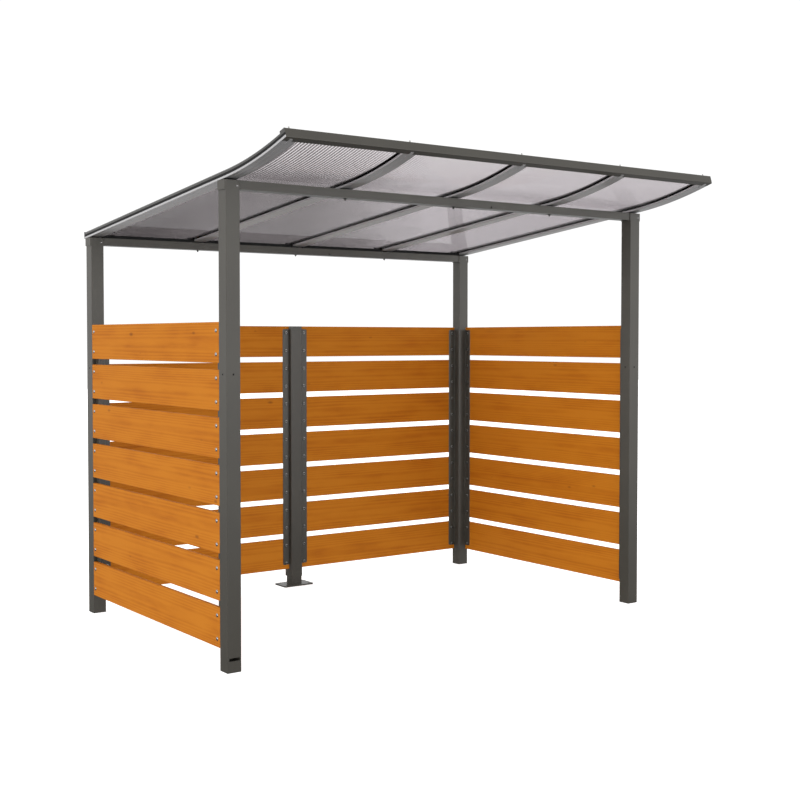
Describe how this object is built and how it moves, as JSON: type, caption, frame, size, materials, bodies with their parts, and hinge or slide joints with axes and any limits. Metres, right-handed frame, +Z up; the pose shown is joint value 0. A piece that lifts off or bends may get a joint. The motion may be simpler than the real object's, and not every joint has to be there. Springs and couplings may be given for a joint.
{
  "type": "bike shelter",
  "caption": "Free-standing bike shelter: square steel posts, timber boards on three sides and a translucent lean-to roof that curves up over its open front.",
  "frame": {"origin": "on the floor, in the middle of the whole shelter seen from above", "axes": "+Z up, +X to the right along the open front as seen by someone facing it, +Y from the open front to the boarded back"},
  "size_m": [2.61, 2.1352, 2.3462],
  "materials": {
    "frame_steel": "satin powder coat",
    "timber": "oiled",
    "rafter_aluminium": "mill",
    "seal_rubber": "matte",
    "roof_sheet": "translucent ribbed sheet",
    "cap_aluminium": "satin powder coat"
  },
  "bodies": {
    "root": {"post_front_left": "frame_steel", "post_front_right": "frame_steel", "post_back_left": "frame_steel", "post_back_right": "frame_steel", "middle_post": "frame_steel", "middle_base_plate": "frame_steel", "front_header": "frame_steel", "back_header": "frame_steel", "head_plate_front_left": "frame_steel", "head_plate_front_right": "frame_steel", "head_plate_back_left": "frame_steel", "head_plate_back_right": "frame_steel", "bracket_front_left": "frame_steel", "bracket_front_right": "frame_steel", "bracket_back_left": "frame_steel", "bracket_back_right": "frame_steel", "middle_bracket": "frame_steel", "boards_left": "timber", "boards_right": "timber", "boards_back_left": "timber", "boards_back_right": "timber", "rafter_1": "rafter_aluminium", "rafter_2": "rafter_aluminium", "rafter_3": "rafter_aluminium", "rafter_4": "rafter_aluminium", "rafter_5": "rafter_aluminium", "seal_1": "seal_rubber", "seal_2": "seal_rubber", "seal_3": "seal_rubber", "seal_4": "seal_rubber", "seal_5": "seal_rubber", "roof_sheet_1": "roof_sheet", "roof_sheet_2": "roof_sheet", "roof_sheet_3": "roof_sheet", "roof_sheet_4": "roof_sheet", "cap_1": "cap_aluminium", "cap_2": "cap_aluminium", "cap_3": "cap_aluminium", "cap_4": "cap_aluminium", "cap_5": "cap_aluminium", "fascia": "frame_steel", "fascia_clips": "rafter_aluminium", "roof_studs": "rafter_aluminium", "sheet_end_trim": "seal_rubber", "end_plugs": "seal_rubber"}
  },
  "joints": []
}
